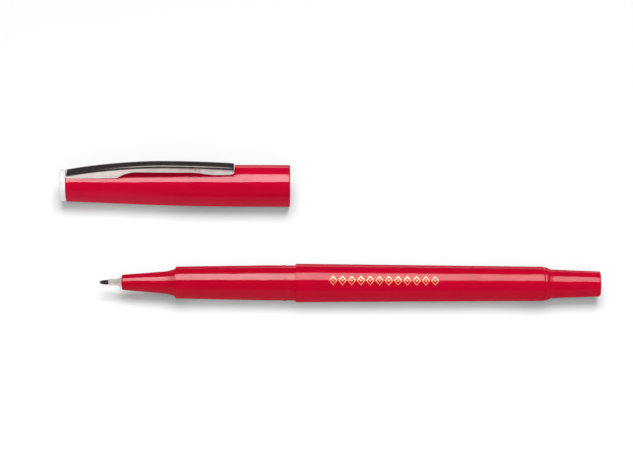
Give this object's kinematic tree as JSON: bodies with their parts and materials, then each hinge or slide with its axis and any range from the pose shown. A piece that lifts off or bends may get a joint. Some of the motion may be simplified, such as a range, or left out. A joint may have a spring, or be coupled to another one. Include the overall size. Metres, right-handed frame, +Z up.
{
  "type": "fineliner pen with a clip cap",
  "caption": "Red plastic fineliner pen lying with its cap taken off beside it; fibre tip in a metal collar, tapered barrel, cap with a folded sprung metal clip and a white crown.",
  "frame": {"origin": "On the table top, under the middle of the box round pen and cap", "axes": "+X runs along the pen from its writing tip to its tail, +Y points from the pen to the cap lying beside it, +Z is up"},
  "size_m": [0.14, 0.0438, 0.0139],
  "materials": {
    "barrel_red": "satin",
    "gloss_red": "gloss",
    "white_plastic": "gloss",
    "liner_plastic": "satin",
    "clip_metal": "polished",
    "collar_metal": "polished",
    "tip_fibre": "matte",
    "reservoir_fibre": "matte",
    "film_plastic": "gloss"
  },
  "bodies": {
    "pen": {"barrel": "barrel_red", "grip_section": "gloss_red", "tip_collar": "collar_metal", "fibre_tip": "tip_fibre", "ink_reservoir": "reservoir_fibre", "reservoir_film": "film_plastic", "tail_plug": "barrel_red"},
    "cap": {"cap_shell": "gloss_red", "inner_cap": "liner_plastic", "crown_plug": "white_plastic"},
    "clip": {"clip": "clip_metal"}
  },
  "joints": [
    {"name": "cap_pull", "type": "slide", "parent": "pen", "child": "cap", "axis": [-1, 0, 0], "range_m": [-0.0017, 0.0493]},
    {"name": "clip_flex", "type": "hinge", "parent": "cap", "child": "clip", "pos_m": [-0.06778, 0.01636, 0.0098], "axis": [0, -1, 0], "range_deg": [0, 3.5], "stiffness_Nm_per_rad": 2}
  ]
}
